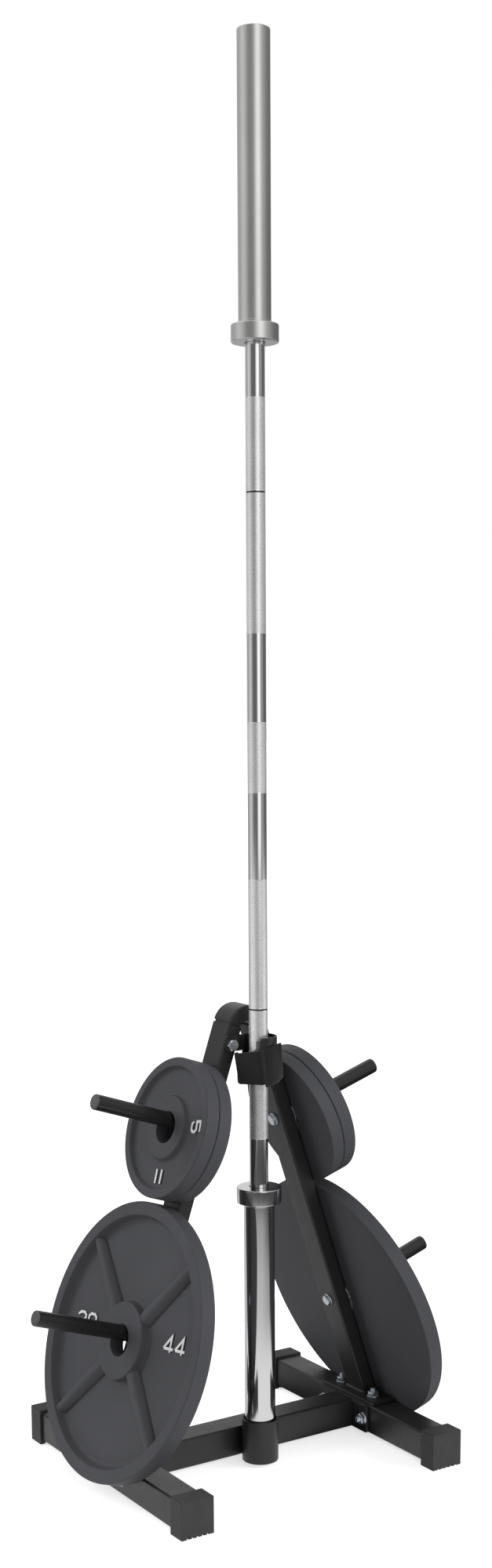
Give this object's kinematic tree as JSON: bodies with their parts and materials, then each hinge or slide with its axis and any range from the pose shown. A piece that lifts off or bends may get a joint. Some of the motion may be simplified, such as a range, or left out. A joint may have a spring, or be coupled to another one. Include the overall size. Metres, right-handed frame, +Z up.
{
  "type": "weight plate rack",
  "caption": "A-frame rack with black steel feet and leaning uprights that holds iron weight plates on angled posts and stands a long chrome bar upright in a cup and a strapped hook.",
  "frame": {"origin": "On the floor under the middle of the rack, at the bottom centre of the bounding box.", "axes": "+Z up, along the bar; +X to the right along the cross beam; the bar and its hook are on the -Y side."},
  "size_m": [0.7706, 0.495, 2.225],
  "materials": {
    "black_powder_coat": "semi-matt black powder coat",
    "cast_iron_paint": "fine rough dark grey paint",
    "cap_rubber": "matt black rubber",
    "liner_rubber": "soft dark grey rubber",
    "strap_cloth": "black woven hook-and-loop webbing",
    "zinc_plate": "bluish zinc plate",
    "bright_steel": "mirror chrome, knurled grips and satin top sleeve",
    "bush_bronze": "sintered bronze"
  },
  "bodies": {
    "rack": {"foot_tube_left": "black_powder_coat", "foot_tube_right": "black_powder_coat", "foot_cap_front_left": "cap_rubber", "foot_cap_front_right": "cap_rubber", "foot_cap_rear_left": "cap_rubber", "foot_cap_rear_right": "cap_rubber", "cross_beam": "black_powder_coat", "upright_left": "black_powder_coat", "upright_right": "black_powder_coat", "apex_bend": "black_powder_coat", "post_lower_left": "black_powder_coat", "post_lower_right": "black_powder_coat", "post_upper_left": "black_powder_coat", "post_upper_right": "black_powder_coat", "post_washer_lower_left": "zinc_plate", "post_washer_lower_right": "zinc_plate", "post_washer_upper_left": "zinc_plate", "post_washer_upper_right": "zinc_plate", "post_bolt_lower_left": "zinc_plate", "post_bolt_lower_right": "zinc_plate", "post_bolt_upper_left": "zinc_plate", "post_bolt_upper_right": "zinc_plate", "base_bolt_front_left": "zinc_plate", "base_bolt_front_right": "zinc_plate", "base_bolt_rear_left": "zinc_plate", "base_bolt_rear_right": "zinc_plate", "base_nut_front_left": "zinc_plate", "base_nut_front_right": "zinc_plate", "base_nut_rear_left": "zinc_plate", "base_nut_rear_right": "zinc_plate", "flange_bolt_front_left": "zinc_plate", "flange_bolt_front_right": "zinc_plate", "flange_bolt_rear_left": "zinc_plate", "flange_bolt_rear_right": "zinc_plate", "flange_nut_front_left": "zinc_plate", "flange_nut_front_right": "zinc_plate", "flange_nut_rear_left": "zinc_plate", "flange_nut_rear_right": "zinc_plate", "bar_cup": "black_powder_coat", "cup_pad": "cap_rubber", "bar_hook": "black_powder_coat", "hook_liner": "liner_rubber", "hook_bolt": "zinc_plate", "strap_fixed": "strap_cloth"},
    "plate_20_left": {"plate_20_left": "cast_iron_paint"},
    "plate_5_inner_left": {"plate_5_inner_left": "cast_iron_paint"},
    "plate_5_outer_left": {"plate_5_outer_left": "cast_iron_paint"},
    "plate_20_right": {"plate_20_right": "cast_iron_paint"},
    "plate_5_inner_right": {"plate_5_inner_right": "cast_iron_paint"},
    "plate_5_outer_right": {"plate_5_outer_right": "cast_iron_paint"},
    "bar": {"bar_shaft": "bright_steel", "end_bolt_upper": "zinc_plate", "end_bolt_lower": "zinc_plate"},
    "sleeve_upper": {"sleeve_upper": "bright_steel", "bush_upper_inner": "bush_bronze", "bush_upper_outer": "bush_bronze"},
    "sleeve_lower": {"sleeve_lower": "bright_steel", "bush_lower_inner": "bush_bronze", "bush_lower_outer": "bush_bronze"},
    "strap_flap": {"strap_flap": "strap_cloth"}
  },
  "joints": [
    {"name": "plate_20_left_slide", "type": "slide", "parent": "rack", "child": "plate_20_left", "axis": [-0.9474, 0, 0.3201], "range_m": [0, 0.2]},
    {"name": "plate_5_inner_left_slide", "type": "slide", "parent": "rack", "child": "plate_5_inner_left", "axis": [-0.9474, 0, 0.3201], "range_m": [0, 0.2]},
    {"name": "plate_5_outer_left_slide", "type": "slide", "parent": "plate_5_inner_left", "child": "plate_5_outer_left", "axis": [-0.9474, 0, 0.3201], "range_m": [0, 0.18]},
    {"name": "plate_20_right_slide", "type": "slide", "parent": "rack", "child": "plate_20_right", "axis": [0.9474, 0, 0.3201], "range_m": [0, 0.2]},
    {"name": "plate_5_inner_right_slide", "type": "slide", "parent": "rack", "child": "plate_5_inner_right", "axis": [0.9474, 0, 0.3201], "range_m": [0, 0.2]},
    {"name": "plate_5_outer_right_slide", "type": "slide", "parent": "plate_5_inner_right", "child": "plate_5_outer_right", "axis": [0.9474, 0, 0.3201], "range_m": [0, 0.18]},
    {"name": "bar_lift", "type": "slide", "parent": "rack", "child": "bar", "axis": [0, 0, 1], "range_m": [0, 0.12]},
    {"name": "sleeve_upper_spin", "type": "hinge", "parent": "bar", "child": "sleeve_upper", "pos_m": [0, -0.0553, 2], "axis": [0, 0, 1], "continuous": true},
    {"name": "sleeve_lower_spin", "type": "hinge", "parent": "bar", "child": "sleeve_lower", "pos_m": [0, -0.0553, 0.25], "axis": [0, 0, 1], "continuous": true},
    {"name": "strap_open", "type": "hinge", "parent": "rack", "child": "strap_flap", "pos_m": [-0.0225, -0.0303, 0.668], "axis": [0, 0, -1], "range_deg": [0, 48]}
  ]
}
